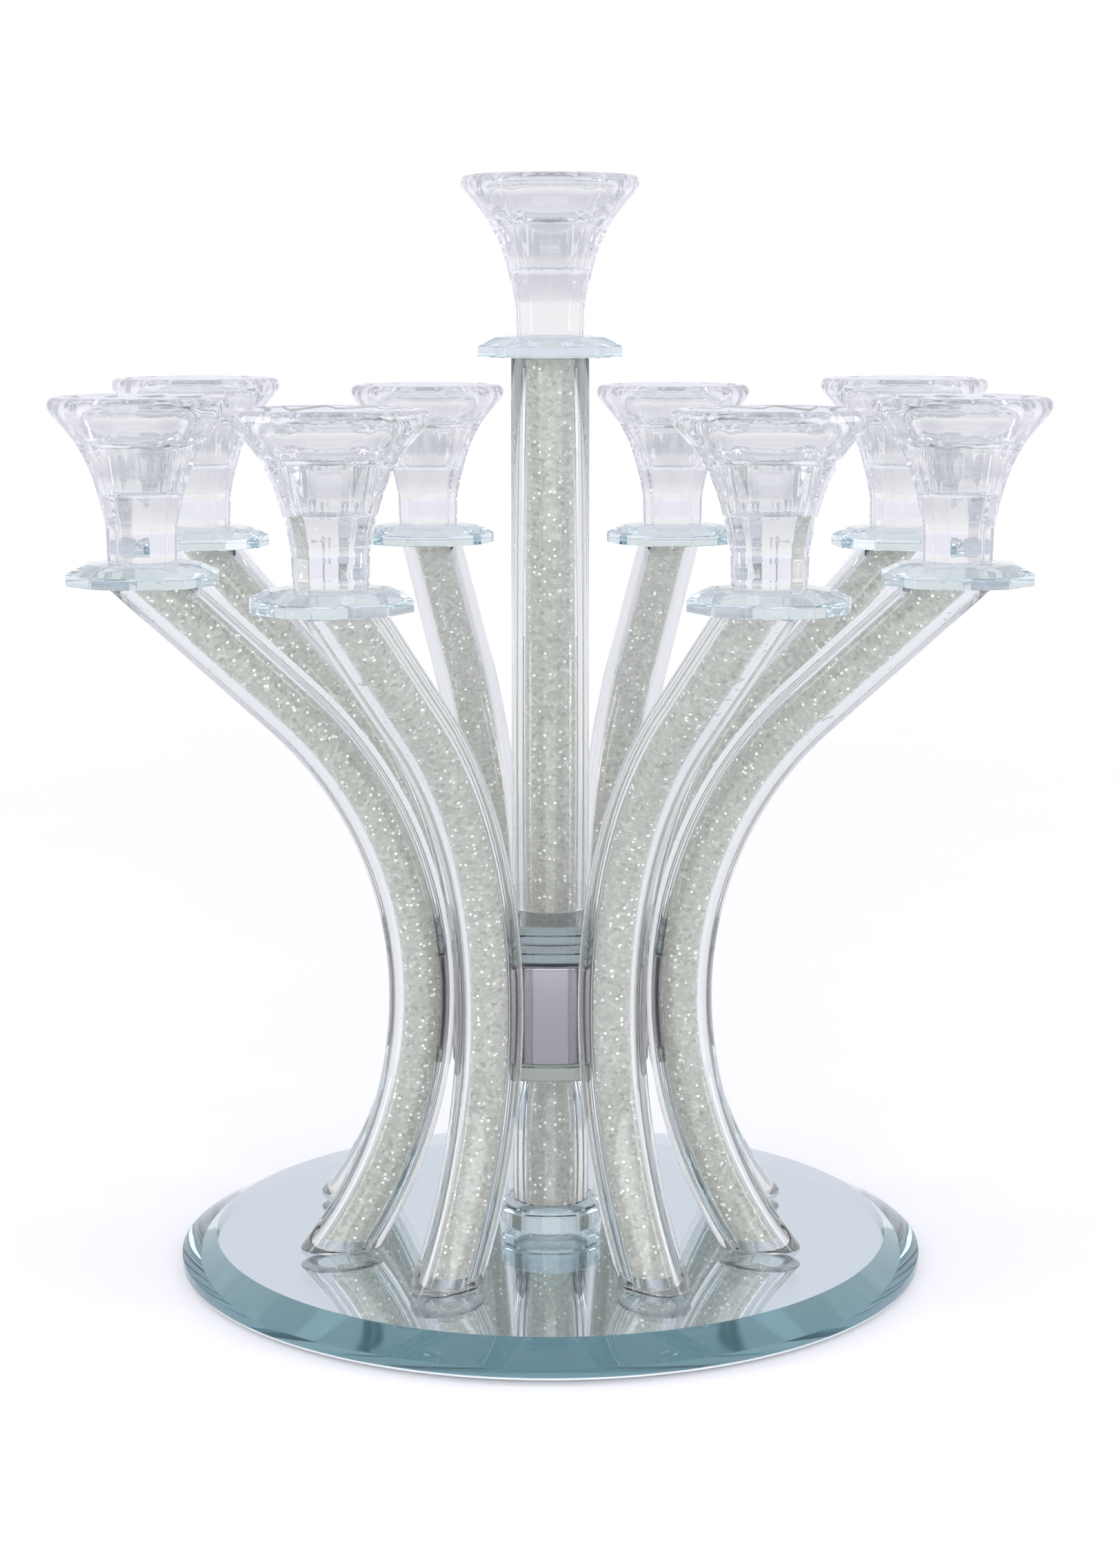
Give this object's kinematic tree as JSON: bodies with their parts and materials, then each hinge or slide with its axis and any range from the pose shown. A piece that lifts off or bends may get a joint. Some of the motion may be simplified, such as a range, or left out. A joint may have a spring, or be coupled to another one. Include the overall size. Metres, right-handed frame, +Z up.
{
  "type": "menorah",
  "caption": "Crystal menorah: bent glass arms packed with crushed crystal spread from a chrome waist ring on a bevelled mirror base, each with a faceted disc and cup.",
  "frame": {"origin": "middle of the base's underside, on the surface that the menorah stands on", "axes": "+Z up along the centre column; -Y towards the viewer in front; +X to the viewer's right"},
  "size_m": [0.3116, 0.3069, 0.3616],
  "materials": {
    "clear_glass": "polished clear glass",
    "edge_glass": "polished plate glass with a pale teal edge",
    "plate_glass": "polished bevelled plate glass, dark teal at the edge",
    "crystals": "crushed crystal chips, sparkling",
    "silvering": "silvered",
    "chrome": "polished",
    "felt": "felt"
  },
  "bodies": {
    "root": {"base_felt_pad": "felt", "base_mirror_silvering": "silvering", "base_bevelled_glass": "plate_glass", "column_foot_disc": "edge_glass", "lower_column_tube": "clear_glass", "lower_column_crystals": "crystals", "hub_lower_plate": "edge_glass", "hub_chrome_ring": "chrome", "hub_middle_plate": "edge_glass", "hub_upper_plate": "edge_glass", "upper_column_tube": "clear_glass", "upper_column_crystals": "crystals", "disc_centre": "edge_glass", "candle_cup_centre": "clear_glass", "arm_tube_front_inner_left": "clear_glass", "arm_crystals_front_inner_left": "crystals", "disc_front_inner_left": "edge_glass", "candle_cup_front_inner_left": "clear_glass", "arm_tube_front_inner_right": "clear_glass", "arm_crystals_front_inner_right": "crystals", "disc_front_inner_right": "edge_glass", "candle_cup_front_inner_right": "clear_glass", "arm_tube_front_outer_left": "clear_glass", "arm_crystals_front_outer_left": "crystals", "disc_front_outer_left": "edge_glass", "candle_cup_front_outer_left": "clear_glass", "arm_tube_front_outer_right": "clear_glass", "arm_crystals_front_outer_right": "crystals", "disc_front_outer_right": "edge_glass", "candle_cup_front_outer_right": "clear_glass", "arm_tube_back_outer_left": "clear_glass", "arm_crystals_back_outer_left": "crystals", "disc_back_outer_left": "edge_glass", "candle_cup_back_outer_left": "clear_glass", "arm_tube_back_outer_right": "clear_glass", "arm_crystals_back_outer_right": "crystals", "disc_back_outer_right": "edge_glass", "candle_cup_back_outer_right": "clear_glass", "arm_tube_back_inner_left": "clear_glass", "arm_crystals_back_inner_left": "crystals", "disc_back_inner_left": "edge_glass", "candle_cup_back_inner_left": "clear_glass", "arm_tube_back_inner_right": "clear_glass", "arm_crystals_back_inner_right": "crystals", "disc_back_inner_right": "edge_glass", "candle_cup_back_inner_right": "clear_glass"}
  },
  "joints": []
}
